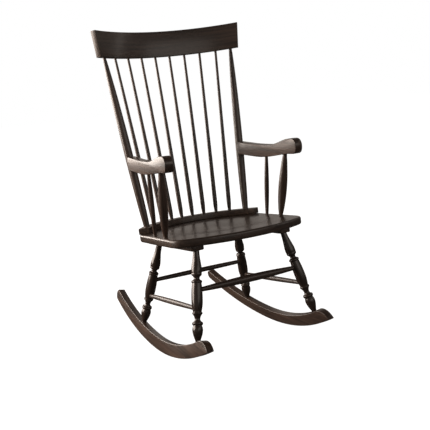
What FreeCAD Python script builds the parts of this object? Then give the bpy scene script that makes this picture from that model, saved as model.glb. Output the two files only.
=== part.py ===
import FreeCAD, Part
import math
import os
from FreeCAD import Placement, Rotation, Vector

# Rocking chair, millimetres.  +X is the sitter's left, the chair faces -Y, +Z is up.
# The origin is on the floor, in the middle of the chair's depth and width.
# The chair is modelled as it comes to rest, its balance point over the rockers' floor contact.

SIZES = [
    ("rocker_front_bend", 794, "radius of the rocker's sole in front of the floor contact"),
    ("rocker_rear_bend", 1250, "radius of the sole behind the floor contact"),
    ("rocker_crown_bend", 705, "radius of the top edge in front of the contact, deeper toward the nose"),
    ("rocker_tail_bend", 1293, "radius of the top edge behind the contact, shallower toward the tail"),
    ("rocker_contact", -3.4, "Y of the floor contact"),
    ("rocker_deep", 41.8, "height of the rocker at the contact"),
    ("rocker_thick", 26, "thickness of the rocker board"),
    ("rocker_half_gap", 241.8, "X of the rocker's middle at half its height over the contact"),
    ("rocker_toe", 2.4, "degrees the rockers close in toward the back"),
    ("rocker_cant", 10.8, "degrees the rockers lean in toward the top, in line with the legs"),
    ("rocker_nose_bulge", 15.5, "how far the rounded nose stands out from its chord"),
    ("rocker_nose_length", 78, "front to back length of the rounded nose"),
    ("rocker_front_reach", 410, "from the contact to the front tip"),
    ("rocker_rear_reach", 411, "from the contact to the middle of the tail"),
    ("seat_slope", 7.34, "degrees the seat falls toward the back"),
    ("seat_datum_depth", -50, "Y of the seat frame's origin"),
    ("seat_datum_rise", 426.3, "Z of the seat frame's origin, on the seat's upper face"),
    ("seat_half_width", 261, "half the seat's width at the front corners"),
    ("seat_rear_half", 253, "half the seat's width where the rear arc starts"),
    ("seat_front_reach", 267, "from the seat datum forward to the middle of the front edge"),
    ("seat_front_bend", 449, "radius of the bowed front edge"),
    ("seat_corner", 60, "radius of the front corners in plan"),
    ("seat_board", 28, "thickness of the seat"),
    ("seat_round", 8, "rounding of the seat's upper edge"),
    ("saddle_bend", 2600, "radius of the dished saddle"),
    ("saddle_sink", 6, "depth of the saddle"),
    ("back_arc", 292, "plan radius of the line of spindle feet"),
    ("back_arc_reach", 226, "from the seat datum back to the middle spindle feet"),
    ("riser_wide", 38, "front to back width of the riser on the seat"),
    ("riser_tall", 22, "height of the riser above the seat"),
    ("riser_sweep", 55, "degrees the riser runs round its arc to each side"),
    ("seat_rim", 25, "from the line of spindle feet to the seat's rear edge"),
    ("cleat_wide", 48, "width of a cleat"),
    ("cleat_tall", 20, "thickness of a cleat"),
    ("cleat_offset", 175, "X of a cleat's middle"),
    ("cleat_front", 190, "from the seat datum forward to the cleat's end"),
    ("cleat_rear", 172, "from the seat datum back to the cleat's end"),
    ("crest_bend", 524, "radius of the crest rail's middle line"),
    ("crest_thick", 20, "thickness of the crest rail"),
    ("crest_tall", 95.5, "height of the crest rail"),
    ("crest_lean", 12, "degrees the crest rail leans back"),
    ("crest_half_foot", 285, "half the rail's length along its front lower edge"),
    ("crest_end_slant", 6.8, "degrees the rail's ends lean out toward the top"),
    ("crest_foot_depth", 297.6, "Y of the middle of the rail's lower edge"),
    ("crest_foot_rise", 1028.5, "Z of the middle of the rail's lower edge"),
    ("post_foot", 22, "diameter of a back post at the riser"),
    ("post_belly", 30.5, "largest diameter of a back post, where the arm meets it"),
    ("post_head", 12, "diameter of a back post at the crest rail"),
    ("post_seat_half", 211, "X of a back post at the riser"),
    ("post_crest_half", 264, "X of a back post at the crest rail"),
    ("spindle_foot", 12, "diameter of a spindle at the riser"),
    ("spindle_belly", 17, "largest diameter of a spindle"),
    ("spindle_head", 9.6, "diameter of a spindle at the crest rail"),
    ("spindle_seat_pitch", 46.5, "distance between spindle feet, measured across the chair"),
    ("spindle_crest_pitch", 60.4, "distance between spindle heads, measured across the chair"),
    ("arm_thick", 31, "thickness of an arm board"),
    ("arm_rear_half", 232, "X of an arm's middle plane where it meets the back post"),
    ("arm_front_half", 253, "X of an arm's middle plane at its front"),
    ("arm_rear_depth", 126, "Y of the arm's rear end"),
    ("arm_front_depth", -205, "Y of the arm's crown at the front"),
    ("arm_post_end", 16, "diameter of an arm's front post at both ends"),
    ("arm_post_belly", 32, "largest diameter of an arm's front post"),
    ("arm_spindle_end", 12, "diameter of an arm's middle spindle at both ends"),
    ("arm_spindle_belly", 17.5, "largest diameter of an arm's middle spindle"),
    ("leg_foot", 17.4, "diameter of a leg where it enters the rocker"),
    ("leg_head", 21.7, "diameter of a leg where it enters the cleat"),
    ("leg_belly", 38, "largest diameter of a leg"),
    ("front_foot_depth", -317, "Y of a front leg's foot"),
    ("front_head_depth", -228.5, "Y of a front leg's head"),
    ("front_head_half", 176, "X of a front leg's head"),
    ("rear_foot_depth", 141, "Y of a rear leg's foot"),
    ("rear_head_depth", 86, "Y of a rear leg's head"),
    ("rear_head_half", 166, "X of a rear leg's head"),
    ("cross_height", 171, "from a leg's foot to the cross stretcher, along the leg"),
    ("side_height", 110, "from a leg's foot to the side stretcher, along the leg"),
    ("stretcher_end", 15, "diameter of every stretcher where it enters a leg"),
    ("front_stretcher_belly", 26, "largest diameter of the front stretcher"),
    ("rear_stretcher_belly", 18.5, "largest diameter of the rear stretcher"),
    ("side_stretcher_belly", 19, "largest diameter of a side stretcher"),
    ("socket_leg_head", 16, "how far a leg goes into its cleat"),
    ("socket_leg_foot", 22, "how far a leg goes into its rocker"),
    ("socket_stretcher", 12, "how far a stretcher goes into a leg"),
    ("socket_spindle", 18, "how far a spindle goes into the riser and the crest rail"),
    ("socket_post", 34, "how far a back post goes into the riser and the seat"),
    ("socket_arm", 20, "how far the posts under an arm go into the seat and the arm"),
    ("screw_shank", 5, "diameter of a wood screw's shank"),
    ("screw_head", 9, "diameter of a wood screw's head"),
    ("screw_head_tall", 4, "height of a wood screw's head"),
    ("plug_tall", 6, "thickness of a wooden plug"),
    ("plug_wide", 10, "diameter of a wooden plug"),
]

doc = FreeCAD.newDocument("RockingChair")
sheet = doc.addObject("Spreadsheet::Sheet", "Sizes")
for row, (alias, value, note) in enumerate(SIZES, start=1):
    sheet.set(f"A{row}", alias)
    sheet.set(f"B{row}", str(value))
    sheet.set(f"C{row}", note)
    sheet.setAlias(f"B{row}", alias)
doc.recompute()

nodes = []


def size(alias):
    return float(sheet.get(alias))


def bind(feature, prop, expression):
    """Tie a feature's size to the sheet, written with plain alias names."""
    words = sorted((alias for alias, _, _ in SIZES), key=len, reverse=True)
    for word in words:
        expression = expression.replace(word, f"<<{words.index(word)}>>")
    for index, word in enumerate(words):
        expression = expression.replace(f"<<{index}>>", f"Sizes.{word}")
    feature.setExpression(prop, expression)


def node(feature, label):
    """Register a finished sub-part: its label names its file."""
    feature.Label = label
    nodes.append(feature)
    return feature


# ---------------------------------------------------------------- building blocks

def origin_plane(body, role):
    return next(f for f in body.Origin.OriginFeatures if f.Role == role)


def sketch_on(body, role, geometry):
    sketch = body.newObject("Sketcher::SketchObject", body.Name + "_sketch")
    sketch.AttachmentSupport = [(origin_plane(body, role), "")]
    sketch.MapMode = "FlatFace"
    for piece in geometry:
        sketch.addGeometry(piece, False)
    return sketch


def board(name, role, geometry, length, midplane=False, reverse=False):
    """A flat board: an outline padded to a thickness taken from the sheet."""
    body = doc.addObject("PartDesign::Body", name)
    sketch = sketch_on(body, role, geometry)
    pad = body.newObject("PartDesign::Pad", name + "_pad")
    pad.Profile = sketch
    pad.Midplane = midplane
    pad.Reversed = reverse
    bind(pad, "Length", length)
    doc.recompute()
    return body


def outline(*stations):
    """Closed outline from corner points; a pair's second item bows that side into an arc through it."""
    corners = [s if isinstance(s[0], (int, float)) else s[0] for s in stations]
    geometry = []
    for index, station in enumerate(stations):
        here = Vector(*corners[index], 0)
        there = Vector(*corners[(index + 1) % len(corners)], 0)
        if isinstance(station[0], (int, float)):
            geometry.append(Part.LineSegment(here, there))
        else:
            geometry.append(Part.Arc(here, Vector(*station[1], 0), there))
    return geometry


def curve_through(points):
    """A smooth curve through (x, y) points; two points make a straight line."""
    vectors = [Vector(x, y, 0) for x, y in points]
    if len(vectors) == 2:
        return Part.LineSegment(*vectors)
    curve = Part.BSplineCurve()
    curve.interpolate(vectors)
    return curve


def turned(name, runs):
    """A turned piece about its own Z: each run is a smooth list of (distance along the axis, diameter)."""
    body = doc.addObject("PartDesign::Body", name)
    lines = [curve_through([(wide / 2, along) for along, wide in run]) for run in runs]
    low, foot = runs[0][0]
    high, head = runs[-1][-1]
    lines.append(Part.LineSegment(Vector(head / 2, high, 0), Vector(0, high, 0)))
    lines.append(Part.LineSegment(Vector(0, high, 0), Vector(0, low, 0)))
    lines.append(Part.LineSegment(Vector(0, low, 0), Vector(foot / 2, low, 0)))
    sketch = sketch_on(body, "XZ_Plane", lines)
    spin = body.newObject("PartDesign::Revolution", name + "_spin")
    spin.Profile = sketch
    spin.ReferenceAxis = (sketch, ["V_Axis"])
    spin.Angle = 360
    doc.recompute()
    return body


def along(start, end):
    """The placement that takes a piece's own Z axis onto the line from start to end."""
    return Placement(start, Rotation(Vector(0, 0, 1), end - start))


def rod(name, start, end, diameter, extra=""):
    """A plain round rod between two points, its diameter taken from the sheet."""
    piece = doc.addObject("Part::Cylinder", name)
    bind(piece, "Radius", f"({diameter}{extra}) / 2")
    piece.Height = (end - start).Length
    piece.Placement = along(start, end)
    return piece


def gathered(name, pieces):
    if len(pieces) == 1:
        return pieces[0]
    group = doc.addObject("Part::Compound", name)
    group.Links = pieces
    return group


def bored(base, tools):
    """The piece with every tool taken out of it, one cut after another."""
    base.Label = base.Name + "_blank"
    for index, tool in enumerate(tools, start=1):
        cut = doc.addObject("Part::Cut", f"{base.Name}_bore{index}")
        cut.Base = base
        cut.Tool = tool
        cut.Refine = False
        base = cut
    return base


def toward(start, end, distance):
    """The point that lies a given distance from start toward end."""
    return start + (end - start).normalize() * distance


SIDES = (("left", -1), ("right", 1))      # as seen from the front of the chair

# ---------------------------------------------------------------- frames of reference

slope = math.radians(size("seat_slope"))
seat_frame = Placement(
    Vector(0, size("seat_datum_depth"), size("seat_datum_rise")),
    Rotation(Vector(1, 0, 0), -size("seat_slope")),
)
crest_frame = Placement(
    Vector(0, size("crest_foot_depth"), size("crest_foot_rise")),
    Rotation(Vector(1, 0, 0), -size("crest_lean")),
)


def on_seat(x, u, v=0.0):
    """A point given across, back along and above the seat's upper face."""
    return seat_frame.multVec(Vector(x, u, v))


def seat_at_depth(x, y, v=0.0):
    """The point at height v over the seat's plane whose own depth in the room is y."""
    u = (y - size("seat_datum_depth") - v * math.sin(slope)) / math.cos(slope)
    return on_seat(x, u, v)


arc_centre = size("back_arc_reach") - size("back_arc")


def back_foot(x):
    """Where a spindle's or a post's middle line meets the top of the riser."""
    u = arc_centre + math.sqrt(size("back_arc") ** 2 - x ** 2)
    return on_seat(x, u, size("riser_tall"))


def crest_foot(x):
    """Where a spindle's or a post's middle line meets the crest rail's lower edge."""
    bend = size("crest_bend")
    return crest_frame.multVec(Vector(x, math.sqrt(bend ** 2 - x ** 2) - bend, 0))


def sagged(bend, reach):
    """How far an arc has risen at a distance from its lowest point."""
    return bend - math.sqrt(bend ** 2 - reach ** 2)


def rocker_half(y, z):
    """Distance from the chair's middle to the middle of a rocker's board."""
    closing = (y - size("rocker_contact")) * math.tan(math.radians(size("rocker_toe")))
    leaning = (z - size("rocker_deep") / 2) * math.tan(math.radians(size("rocker_cant")))
    return size("rocker_half_gap") - closing - leaning


def rocker_sole(reach):
    """Height of the rocker's sole at a distance behind the contact."""
    return sagged(size("rocker_front_bend" if reach < 0 else "rocker_rear_bend"), reach)


def rocker_top(reach):
    """Height of the rocker's upper edge at a distance behind the contact."""
    return size("rocker_deep") + sagged(size("rocker_crown_bend" if reach < 0 else "rocker_tail_bend"), reach)


def leg_line(kind, side):
    """Foot on the rocker and head on the cleat of one leg."""
    depth = size(f"{kind}_foot_depth")
    rise = rocker_top(depth - size("rocker_contact"))
    foot = Vector(side * rocker_half(depth, rise), depth, rise)
    under = -size("seat_board") - size("cleat_tall")
    head = seat_at_depth(side * size(f"{kind}_head_half"), size(f"{kind}_head_depth"), under)
    return foot, head


# ---------------------------------------------------------------- turned patterns

def leg_runs(length):
    """The leg's turning, foot to head: bulb, ring, neck, bead, vase, ring, cove, bead, taper."""
    foot = size("leg_foot")
    head = size("leg_head")
    belly = size("leg_belly")
    return [
        [(-size("socket_leg_foot"), foot), (5, foot)],
        [(5, foot), (14, 0.62 * belly), (30, 0.89 * belly), (44, 0.93 * belly), (55, 0.75 * belly)],
        [(55, 0.75 * belly), (58, 0.90 * belly), (62, 0.96 * belly), (66, 0.90 * belly), (68, 0.68 * belly)],
        [(68, 0.68 * belly), (76, 0.50 * belly), (86, 0.62 * belly), (91, 0.76 * belly)],
        [(91, 0.76 * belly), (93, 0.86 * belly), (96, 0.90 * belly), (99, 0.86 * belly), (101, 0.76 * belly)],
        [(101, 0.76 * belly), (110, 0.84 * belly), (135, belly), (170, 0.97 * belly), (196, 0.84 * belly)],
        [(196, 0.84 * belly), (198, 0.93 * belly), (201, 0.96 * belly), (204, 0.90 * belly), (206, 0.66 * belly)],
        [(206, 0.66 * belly), (210, 0.52 * belly), (215, 0.54 * belly), (219, 0.72 * belly)],
        [(219, 0.72 * belly), (221, 0.88 * belly), (224, 0.93 * belly), (228, 0.90 * belly)],
        [(228, 0.90 * belly), (245, 0.91 * belly), (272, 0.76 * belly), (length - 8, head)],
        [(length - 8, head), (length + size("socket_leg_head"), head)],
    ]


def bellied_runs(length, end_alias, belly_alias, low, high, high_extra=None, peak=0.5, flat=8):
    """A turning that swells once between two plain ends; low and high are the hidden end lengths."""
    end = size(end_alias)
    top = size(high_extra) if high_extra else end
    belly = size(belly_alias)
    middle = peak * length
    return [
        [(-low, end), (flat, end)],
        [
            (flat, end),
            (flat + 0.45 * (middle - flat), end + 0.68 * (belly - end)),
            (middle, belly),
            (middle + 0.55 * (length - flat - middle), top + 0.60 * (belly - top)),
            (length - flat, top),
        ],
        [(length - flat, top), (length + high, top)],
    ]


# ---------------------------------------------------------------- legs and stretchers

def screw(name, head, tip, sunk):
    """A flat-headed wood screw: a conical head and its shank, as one solid."""
    inside = toward(head, tip, sunk)
    cap = doc.addObject("Part::Cone", name + "_head")
    bind(cap, "Radius1", "screw_head / 2")
    bind(cap, "Radius2", "screw_shank / 2")
    bind(cap, "Height", "screw_head_tall")
    cap.Placement = along(inside, tip)
    shank = rod(name + "_shank", toward(inside, tip, size("screw_head_tall") - 0.5), tip, "screw_shank")
    whole = doc.addObject("Part::Fuse", name)
    whole.Base = cap
    whole.Tool = shank
    return whole


legs = {}
for kind in ("front", "rear"):
    for word, side in SIDES:
        legs[kind, side] = leg_line(kind, side)


def stretcher_line(start, end):
    """The stretcher between two leg axes: it stops short of each axis, inside the leg."""
    inset = 0.45 * size("leg_belly") - size("socket_stretcher")
    return toward(start, end, inset), toward(end, start, inset)


def on_leg(kind, side, alias):
    return toward(*legs[kind, side], size(alias))


stretchers = {
    "front_stretcher": (on_leg("front", -1, "cross_height"), on_leg("front", 1, "cross_height")),
    "rear_stretcher": (on_leg("rear", -1, "cross_height"), on_leg("rear", 1, "cross_height")),
    "left_side_stretcher": (on_leg("front", -1, "side_height"), on_leg("rear", -1, "side_height")),
    "right_side_stretcher": (on_leg("front", 1, "side_height"), on_leg("rear", 1, "side_height")),
}
bellies = {
    "front_stretcher": "front_stretcher_belly",
    "rear_stretcher": "rear_stretcher_belly",
    "left_side_stretcher": "side_stretcher_belly",
    "right_side_stretcher": "side_stretcher_belly",
}
for label, (start, end) in stretchers.items():
    start, end = stretcher_line(start, end)
    span = (end - start).Length
    buried = size("socket_stretcher") + 4
    runs = bellied_runs(span, "stretcher_end", bellies[label], 0, 0, flat=buried)
    piece = turned(label, runs)
    piece.Placement = along(start, end)
    node(piece, label)
    stretchers[label] = (start, end)


def screw_under(side, kind):
    """The screw that comes up through a rocker into a leg, with the plug that hides its head."""
    foot, head = legs[kind, side]
    sole = toward(foot, head, -1.02 * size("rocker_deep"))
    floor_end = toward(foot, head, -1.4 * size("rocker_deep"))
    return sole, floor_end, toward(foot, head, 34)


rocker_screws = []
rocker_plugs = []
for kind in ("front", "rear"):
    for word, side in SIDES:
        foot, head = legs[kind, side]
        length = (head - foot).Length
        label = f"{word}_{kind}_leg"
        piece = turned(label, leg_runs(length))
        piece.Placement = along(foot, head)
        tools = []
        for beam in ("front_stretcher", "rear_stretcher", "left_side_stretcher", "right_side_stretcher"):
            if beam in (f"{kind}_stretcher", f"{word}_side_stretcher"):
                start, end = stretchers[beam]
                near, far = (start, end) if (start - foot).Length < (end - foot).Length else (end, start)
                tools.append(rod(f"{label}_{beam}_hole", near, toward(near, far, 30), "stretcher_end"))
        sole, floor_end, tip = screw_under(side, kind)
        tools.append(rod(f"{label}_pilot", toward(foot, head, -30), tip, "screw_shank"))
        node(bored(piece, tools), label)

# ---------------------------------------------------------------- rockers

cant = math.radians(size("rocker_cant"))
sole_spare = size("rocker_thick") * math.sin(cant)


def in_board(reach, height):
    """A point of the leaning board's own plane that stands at a given height over the floor."""
    middle = size("rocker_deep") / 2
    return (reach, middle + (height - middle) / math.cos(cant))


def rocker_outline():
    """The rocker in its board's plane, its lower edge left a little too deep."""
    reach = -size("rocker_front_reach")
    back = size("rocker_rear_reach")

    def sole(y):
        return in_board(y, rocker_sole(y) - sole_spare)

    def top(y):
        return in_board(y, rocker_top(y))

    def bulged(start, end, height):
        """The point that stands out from the middle of a chord."""
        chord = Vector(end[0] - start[0], end[1] - start[1], 0)
        out = Vector(-chord.y, chord.x, 0).normalize() * height
        return ((start[0] + end[0]) / 2 + out.x, (start[1] + end[1]) / 2 + out.y)

    tip = sole(reach)
    crown = top(reach + size("rocker_nose_length"))
    tail_low = sole(back + 3)
    tail_high = top(back - 5)
    tail_half = math.hypot(tail_high[0] - tail_low[0], tail_high[1] - tail_low[1]) / 2
    return outline(
        (tip, sole(reach / 2)),
        (sole(0), sole(back / 2)),
        (tail_low, bulged(tail_low, tail_high, -0.5 * tail_half)),
        (tail_high, top(back / 2)),
        (top(0), top(reach / 2)),
        (crown, bulged(crown, tip, -size("rocker_nose_bulge"))),
    )


def above_sole():
    """Everything over the curved sole, seen from the side, with the floor contact at the origin."""
    far = 1.2 * size("rocker_front_reach")
    ceiling = 8 * size("rocker_deep")
    return outline(
        ((-far, rocker_sole(-far)), (-far / 2, rocker_sole(-far / 2))),
        ((0.0, 0.0), (far / 2, rocker_sole(far / 2))),
        (far, rocker_sole(far)),
        (far, ceiling),
        (-far, ceiling),
    )


for word, side in SIDES:
    label = f"{word}_rocker"
    turn = Rotation(Vector(0, 0, 1), side * size("rocker_toe"))
    middle = size("rocker_deep") / 2
    profile = board(f"{label}_profile", "YZ_Plane", rocker_outline(), "rocker_thick", midplane=True)
    profile.Placement = (
        Placement(Vector(side * size("rocker_half_gap"), size("rocker_contact"), middle), turn)
        * Placement(Vector(), Rotation(Vector(0, 1, 0), -side * size("rocker_cant")))
        * Placement(Vector(0, 0, -middle), Rotation())
    )
    level = board(f"{label}_level", "YZ_Plane", above_sole(), "rocker_half_gap * 2", midplane=True)
    level.Placement = Placement(Vector(side * size("rocker_half_gap"), size("rocker_contact"), 0), turn)
    piece = doc.addObject("Part::Common", label)
    piece.Base = profile
    piece.Tool = level
    tools = []
    for kind in ("front", "rear"):
        foot, head = legs[kind, side]
        sole, floor_end, tip = screw_under(side, kind)
        deep = toward(foot, head, -size("socket_leg_foot"))
        seat_of_head = toward(sole, foot, size("plug_tall") + size("screw_head_tall"))
        tools.append(rod(f"{label}_{kind}_socket", deep, toward(foot, head, 25), "leg_foot"))
        tools.append(rod(f"{label}_{kind}_bore", floor_end, seat_of_head, "plug_wide"))
        tools.append(rod(f"{label}_{kind}_pilot", seat_of_head, deep, "screw_shank"))
        rocker_screws.append(screw(f"{label}_{kind}_screw", seat_of_head, tip, -size("screw_head_tall")))
        plug_rod = rod(f"{label}_{kind}_plug_rod", floor_end, toward(sole, foot, size("plug_tall")), "plug_wide")
        plug = doc.addObject("Part::Common", f"{label}_{kind}_plug")
        plug.Base = plug_rod
        plug.Tool = piece
        rocker_plugs.append(plug)
    node(bored(piece, tools), label)
node(gathered("rocker_screws", rocker_screws), "rocker_screws")
node(gathered("rocker_plugs", rocker_plugs), "rocker_plugs")

# ---------------------------------------------------------------- seat, riser and cleats

def seat_outline():
    """The seat from above, in the seat frame: bowed front, round corners, rear edge an arc."""
    half = size("seat_half_width")
    rear = size("seat_rear_half")
    corner = size("seat_corner")
    bend = size("seat_front_bend")
    front = -size("seat_front_reach")
    # the corner circle touches both the bowed front and the side
    across = half - corner
    down = front + bend - math.sqrt((bend - corner) ** 2 - across ** 2)
    bow = math.asin(across / (bend - corner))
    join = (across + corner * math.sin(bow), down - corner * math.cos(bow))
    knee = (across + corner * math.cos(0.5 * bow - math.pi / 4), down + corner * math.sin(0.5 * bow - math.pi / 4))
    edge = size("back_arc") + size("seat_rim")
    hip = arc_centre + math.sqrt(edge ** 2 - rear ** 2)
    return outline(
        ((rear, hip), (0.0, arc_centre + edge)),
        (-rear, hip),
        ((-half, down), (-knee[0], knee[1])),
        ((-join[0], join[1]), (0.0, front)),
        (join, knee),
        (half, down),
    )


def edges_at(shape, height, tolerance=0.01):
    names = []
    for index, edge in enumerate(shape.Edges, start=1):
        if all(abs(vertex.Z - height) < tolerance for vertex in edge.Vertexes):
            names.append(f"Edge{index}")
    return names


def rounded(body, kind, height, length, prop):
    """Round or bevel every edge of the body's last feature that lies at one height."""
    last = body.Tip
    feature = body.newObject(f"PartDesign::{kind}", f"{body.Name}_{kind}")
    feature.Base = (last, edges_at(last.Shape, height))
    bind(feature, prop, length)
    doc.recompute()
    return feature


seat = board("seat", "XY_Plane", seat_outline(), "seat_board", reverse=True)
rounded(seat, "Fillet", 0.0, "seat_round", "Radius")
rounded(seat, "Chamfer", -size("seat_board"), "seat_round * 0.8", "Size")
seat.Placement = seat_frame
saddle = doc.addObject("Part::Sphere", "saddle")
bind(saddle, "Radius", "saddle_bend")
saddle.Placement = Placement(on_seat(0, -25, size("saddle_bend") - size("saddle_sink")), Rotation())

sweep = math.radians(size("riser_sweep"))


def on_arc(bend, angle):
    return (bend * math.sin(angle), arc_centre + bend * math.cos(angle))


outer = size("back_arc") + size("riser_wide") / 2
inner = size("back_arc") - size("riser_wide") / 2
riser = board(
    "seat_riser", "XY_Plane",
    outline(
        (on_arc(outer, sweep), on_arc(outer, 0)),
        on_arc(outer, -sweep),
        (on_arc(inner, -sweep), on_arc(inner, 0)),
        on_arc(inner, sweep),
    ),
    "riser_tall",
)
riser.Placement = seat_frame

seat_tools = [saddle]
riser_tools = []
cleat_parts = {}
for word, side in SIDES:
    middle = side * size("cleat_offset")
    wide = size("cleat_wide") / 2
    near, far = -size("cleat_front"), size("cleat_rear")
    piece = board(
        f"{word}_cleat", "XY_Plane",
        outline((middle - wide, near), (middle + wide, near), (middle + wide, far), (middle - wide, far)),
        "cleat_tall", reverse=True,
    )
    piece.Placement = Placement(on_seat(0, 0, -size("seat_board")), seat_frame.Rotation)
    cleat_parts[side] = piece

# ---------------------------------------------------------------- back posts and spindles

posts = {}
for word, side in SIDES:
    foot = back_foot(side * size("post_seat_half"))
    head = crest_foot(side * size("post_crest_half"))
    posts[side] = (foot, head)
    length = (head - foot).Length
    low, belly, high = size("post_foot"), size("post_belly"), size("post_head")
    runs = [
        [(-size("socket_post"), low), (8, low)],
        [(8, low), (75, 0.89 * belly), (150, 0.96 * belly), (235, belly), (340, 0.97 * belly),
         (length - 176, 0.85 * belly), (length - 90, 0.69 * belly), (length - 10, high)],
        [(length - 10, high), (length + size("socket_spindle"), high)],
    ]
    piece = turned(f"{word}_back_post", runs)
    piece.Placement = along(foot, head)
    posts[side, "body"] = piece
    sink = toward(foot, head, -size("socket_post"))
    riser_tools.append(rod(f"riser_{word}_post_hole", sink, toward(foot, head, 30), "post_foot"))
    seat_tools.append(rod(f"seat_{word}_post_hole", sink, toward(foot, head, 30), "post_foot"))

crest_tools = []
for number in range(1, 9):
    place = number - 4.5
    foot = back_foot(place * size("spindle_seat_pitch"))
    head = crest_foot(place * size("spindle_crest_pitch"))
    length = (head - foot).Length
    low, belly, high = size("spindle_foot"), size("spindle_belly"), size("spindle_head")
    runs = [
        [(-size("socket_spindle"), low), (6, low)],
        [(6, low), (22, 0.93 * belly), (45, belly), (120, 0.95 * belly), (300, 0.80 * belly), (length - 6, high)],
        [(length - 6, high), (length + size("socket_spindle"), high)],
    ]
    label = f"back_spindle_{number}"
    piece = turned(label, runs)
    piece.Placement = along(foot, head)
    node(piece, label)
    sink = toward(foot, head, -size("socket_spindle"))
    riser_tools.append(rod(f"riser_hole_{number}", sink, toward(foot, head, 20), "spindle_foot"))
    rise = toward(head, foot, -size("socket_spindle"))
    crest_tools.append(rod(f"crest_hole_{number}", toward(head, foot, 25), rise, "spindle_head"))

# ---------------------------------------------------------------- crest rail

def crest_rail():
    """A board bent to an arc about its own leaning axis, its ends square to the bend and leaning out."""
    bend = size("crest_bend")
    half = size("crest_half_foot") + 40
    outer = bend + size("crest_thick") / 2
    inner = bend - size("crest_thick") / 2
    band = board(
        "crest_band", "XY_Plane",
        outline(
            ((half, math.sqrt(outer ** 2 - half ** 2) - bend), (0.0, outer - bend)),
            (-half, math.sqrt(outer ** 2 - half ** 2) - bend),
            ((-half, math.sqrt(inner ** 2 - half ** 2) - bend), (0.0, inner - bend)),
            (half, math.sqrt(inner ** 2 - half ** 2) - bend),
        ),
        "crest_tall",
    )
    band.Placement = crest_frame
    lie = math.asin(size("crest_half_foot") / inner)
    ends = []
    for word, side in SIDES:
        end = doc.addObject("Part::Box", f"crest_{word}_end")
        bind(end, "Length", "crest_thick * 4")
        bind(end, "Width", "crest_half_foot / 2")
        bind(end, "Height", "crest_tall * 2")
        corner = Vector(side * inner * math.sin(lie), inner * math.cos(lie) - bend, 0)
        inward = -size("crest_half_foot") / 2 if side > 0 else 0
        end.Placement = (
            crest_frame
            * Placement(corner, Rotation(Vector(0, 0, 1), 90 - side * math.degrees(lie)))
            * Placement(Vector(), Rotation(Vector(1, 0, 0), side * size("crest_end_slant")))
            * Placement(Vector(-2 * size("crest_thick"), inward, -size("crest_tall") / 2), Rotation())
        )
        ends.append(end)
    return bored(band, ends)


crest_screws = []
post_pins = {}
for word, side in SIDES:
    foot, head = posts[side]
    rise = toward(head, foot, -size("socket_spindle"))
    crest_tools.append(rod(f"crest_{word}_post_hole", toward(head, foot, 30), rise, "post_head"))
    # a screw from the back of the rail, square to it, into the post's hidden end
    middle = toward(head, foot, -0.5 * size("socket_spindle"))
    lie = math.asin(side * size("post_crest_half") / size("crest_bend"))
    outward = crest_frame.Rotation.multVec(Vector(math.sin(lie), math.cos(lie), 0))
    face = middle + outward * (size("crest_thick") / 2)
    tip = middle - outward * 4
    crest_screws.append(screw(f"crest_screw_{word}", face, tip, 0.3))
    mouth = doc.addObject("Part::Cone", f"crest_{word}_mouth")
    bind(mouth, "Radius1", "screw_head / 2 + 0.5")
    bind(mouth, "Radius2", "screw_shank / 2 + 0.5")
    bind(mouth, "Height", "screw_head_tall + 0.3")
    mouth.Placement = along(face, tip)
    crest_tools.append(mouth)
    crest_tools.append(rod(f"crest_{word}_pilot", face, tip, "screw_shank"))
    post_pins[side] = rod(f"post_{word}_pilot", face, tip, "screw_shank")
node(bored(crest_rail(), crest_tools), "crest_rail")
node(gathered("crest_screws", crest_screws), "crest_screws")

# ---------------------------------------------------------------- arms and what holds them up

ARM_TOP = ((0.0, 688), (0.36, 690), (0.60, 695.5), (0.78, 711), (0.90, 724.5), (1.0, 729.5))
ARM_UNDER = ((1.035, 675), (0.90, 670), (0.78, 663), (0.62, 652), (0.40, 643), (0.0, 641))
ARM_NOSE = ((1.060, 721.5), (1.085, 702), (1.070, 683.5))


def arm_outline(run):
    """The arm from the side; fractions run from the back post to the crown, heights are in millimetres."""
    top = [(-f * run, z) for f, z in ARM_TOP]
    nose = [(-f * run, z) for f, z in ARM_NOSE]
    under = [(-f * run, z) for f, z in ARM_UNDER]
    return [
        Part.LineSegment(Vector(5, under[-1][1], 0), Vector(5, top[0][1], 0)),
        Part.LineSegment(Vector(5, top[0][1], 0), Vector(*top[0], 0)),
        curve_through(top),
        curve_through([top[-1]] + nose + [under[0]]),
        curve_through(under),
        Part.LineSegment(Vector(*under[-1], 0), Vector(5, under[-1][1], 0)),
    ]


def arm_under(depth):
    """Height of an arm's lower face at a depth, straight between the outline's points."""
    back, crown = size("arm_rear_depth"), size("arm_front_depth")
    part = (back - depth) / (back - crown)
    for (f1, z1), (f0, z0) in zip(ARM_UNDER, ARM_UNDER[1:]):
        if f0 <= part <= f1:
            return z0 + (z1 - z0) * (part - f0) / (f1 - f0)
    return ARM_UNDER[0][1]


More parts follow.
